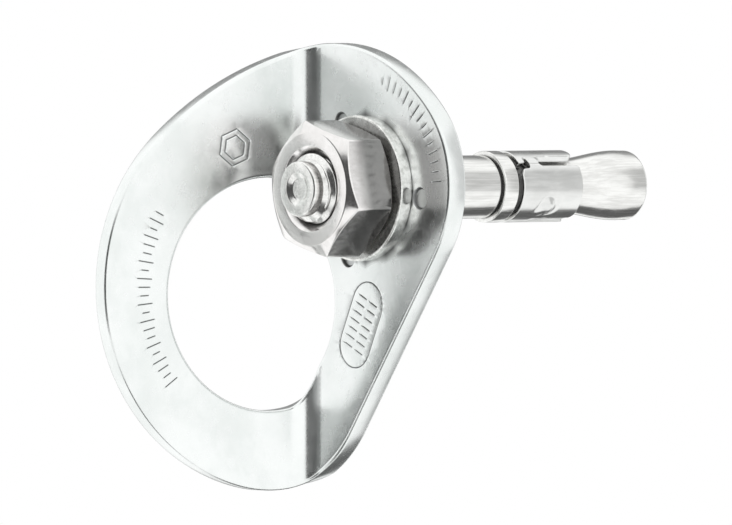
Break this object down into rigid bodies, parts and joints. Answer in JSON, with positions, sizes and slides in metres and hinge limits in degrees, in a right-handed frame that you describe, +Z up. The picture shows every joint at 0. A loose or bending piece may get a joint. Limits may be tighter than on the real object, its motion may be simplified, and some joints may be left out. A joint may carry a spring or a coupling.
{
  "type": "roof anchor",
  "caption": "Stainless fall-arrest roof anchor: bent hanger plate with a large connector eye on a wedge expansion stud.",
  "frame": {"origin": "where the stud's axis meets the wall plane, which is the hanger's back face", "axes": "+Y into the wall along the stud, +Z up, +X away from the connector eye, to the right of somebody facing the wall"},
  "size_m": [0.0395, 0.0794, 0.0623],
  "materials": {
    "hanger_steel": "tumbled and polished stainless plate",
    "washer_steel": "stamped stainless",
    "nut_steel": "satin cold-formed stainless",
    "stud_steel": "drawn and rolled stainless, brushed along its length",
    "clip_steel": "rolled stainless strip"
  },
  "bodies": {
    "stud": {"stud": "stud_steel"},
    "washer": {"washer": "washer_steel"},
    "nut": {"hex_nut": "nut_steel"},
    "hanger": {"hanger": "hanger_steel"},
    "clip": {"clip_sleeve": "clip_steel"},
    "leaf_1": {"clip_leaf_1": "clip_steel"},
    "leaf_2": {"clip_leaf_2": "clip_steel"},
    "leaf_3": {"clip_leaf_3": "clip_steel"}
  },
  "joints": [
    {"name": "stack_travel", "type": "slide", "parent": "stud", "child": "washer", "axis": [0, -1, 0], "range_m": [-0.006, 0.006]},
    {"name": "nut_spin", "type": "hinge", "parent": "washer", "child": "nut", "pos_m": [0, 0, 0], "axis": [0, -1, 0], "range_deg": [-1440, 1440]},
    {"name": "hanger_swivel", "type": "hinge", "parent": "washer", "child": "hanger", "pos_m": [0, 0, 0], "axis": [0, -1, 0], "continuous": true},
    {"name": "clip_draw", "type": "slide", "parent": "stud", "child": "clip", "axis": [0, 1, 0], "range_m": [0, 0.003]},
    {"name": "leaf_1_spread", "type": "hinge", "parent": "clip", "child": "leaf_1", "pos_m": [-0.00095, 0.02763, 0.00491], "axis": [0.9816, 0, 0.1908], "range_deg": [0, 8]},
    {"name": "leaf_2_spread", "type": "hinge", "parent": "clip", "child": "leaf_2", "pos_m": [-0.00377, 0.02763, -0.00328], "axis": [-0.6561, 0, 0.7547], "range_deg": [0, 8]},
    {"name": "leaf_3_spread", "type": "hinge", "parent": "clip", "child": "leaf_3", "pos_m": [0.00473, 0.02763, -0.00163], "axis": [-0.3256, 0, -0.9455], "range_deg": [0, 8]}
  ],
  "couplings": [
    {"joint": "stack_travel", "follows": "nut_spin", "m_per_rad": 0.00023873},
    {"joint": "leaf_1_spread", "follows": "clip_draw", "rad_per_m": 42},
    {"joint": "leaf_2_spread", "follows": "clip_draw", "rad_per_m": 42},
    {"joint": "leaf_3_spread", "follows": "clip_draw", "rad_per_m": 42}
  ]
}
